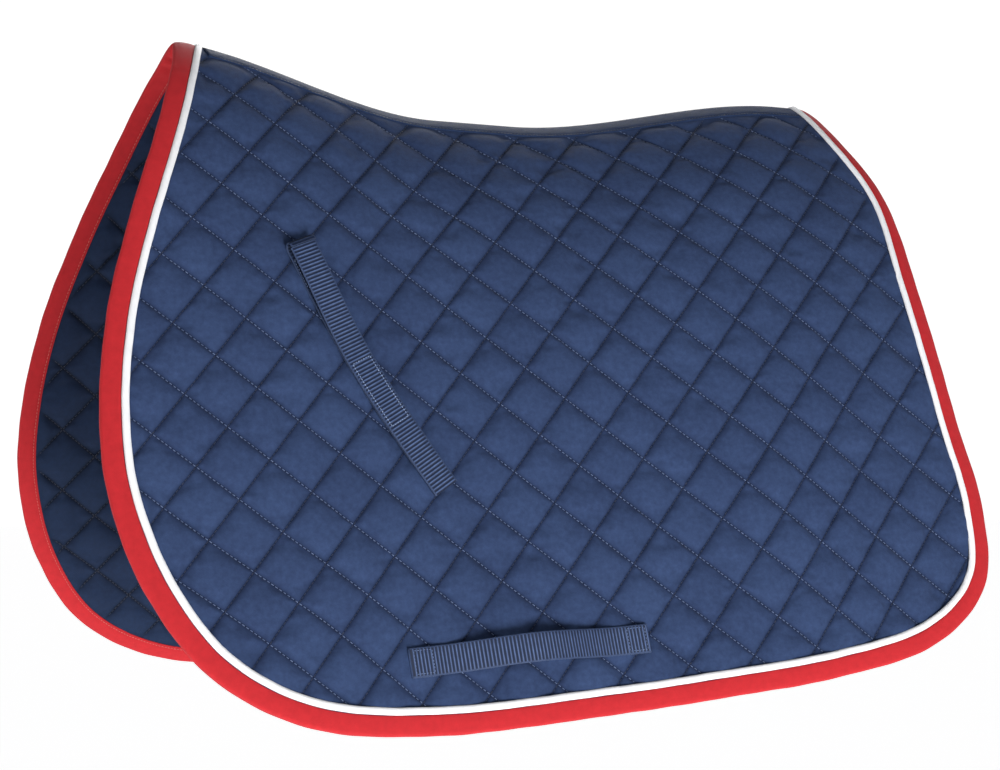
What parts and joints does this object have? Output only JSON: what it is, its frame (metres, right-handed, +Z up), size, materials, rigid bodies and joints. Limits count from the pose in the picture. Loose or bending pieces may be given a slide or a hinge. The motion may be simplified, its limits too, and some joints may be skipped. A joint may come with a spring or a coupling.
{
  "type": "saddle pad",
  "caption": "Shaped, diamond-quilted pad that lies over a horse's back under a saddle, with bound and piped edges, billet straps and girth loops.",
  "frame": {"origin": "on the underside of the spine seam, half way along it, where the pad rests on the horse's back", "axes": "+X points to the horse's head, +Y to its left side, +Z up"},
  "size_m": [0.7925, 0.5062, 0.5707],
  "materials": {
    "outer_cloth": "matt navy twill, diamond quilted",
    "wadding": "soft white polyester fill",
    "lining_cloth": "matt dark navy cotton",
    "spine_tape": "dark navy woven tape",
    "binding_tape": "red woven tape with a soft sheen",
    "piping": "white satin-covered cord",
    "webbing": "navy ribbed webbing",
    "fastener": "dark navy hook and loop tape"
  },
  "bodies": {
    "crown": {"crown_left_outer": "outer_cloth", "crown_right_outer": "outer_cloth", "crown_left_wadding": "wadding", "crown_right_wadding": "wadding", "crown_left_lining": "lining_cloth", "crown_right_lining": "lining_cloth", "spine_tape": "spine_tape", "spine_seam_tape": "spine_tape", "front_crown_binding": "binding_tape", "rear_crown_binding": "binding_tape", "front_crown_piping": "piping", "rear_crown_piping": "piping"},
    "left_flap": {"left_outer": "outer_cloth", "left_wadding": "wadding", "left_lining": "lining_cloth", "left_binding": "binding_tape", "left_piping": "piping", "left_billet_base": "webbing", "left_billet_loop_patch": "fastener", "left_girth_strap": "webbing"},
    "right_flap": {"right_outer": "outer_cloth", "right_wadding": "wadding", "right_lining": "lining_cloth", "right_binding": "binding_tape", "right_piping": "piping", "right_billet_base": "webbing", "right_billet_loop_patch": "fastener", "right_girth_strap": "webbing"},
    "left_billet_tab": {"left_billet_tab": "webbing", "left_billet_hook_patch": "fastener"},
    "right_billet_tab": {"right_billet_tab": "webbing", "right_billet_hook_patch": "fastener"}
  },
  "joints": [
    {"name": "left_flap_fold", "type": "hinge", "parent": "crown", "child": "left_flap", "pos_m": [0, 0.084, -0.052], "axis": [1, 0, 0], "range_deg": [-25, 65], "stiffness_Nm_per_rad": 2.5, "springref_deg": 5.73},
    {"name": "right_flap_fold", "type": "hinge", "parent": "crown", "child": "right_flap", "pos_m": [0, -0.084, -0.052], "axis": [-1, 0, 0], "range_deg": [-25, 65], "stiffness_Nm_per_rad": 2.5, "springref_deg": 5.73},
    {"name": "left_billet_open", "type": "hinge", "parent": "left_flap", "child": "left_billet_tab", "pos_m": [0.24035, 0.12749, -0.11984], "axis": [0.9146, 0.1867, -0.3586], "range_deg": [0, 120]},
    {"name": "right_billet_open", "type": "hinge", "parent": "right_flap", "child": "right_billet_tab", "pos_m": [0.24035, -0.12749, -0.11984], "axis": [-0.9146, 0.1867, 0.3586], "range_deg": [0, 120]}
  ]
}
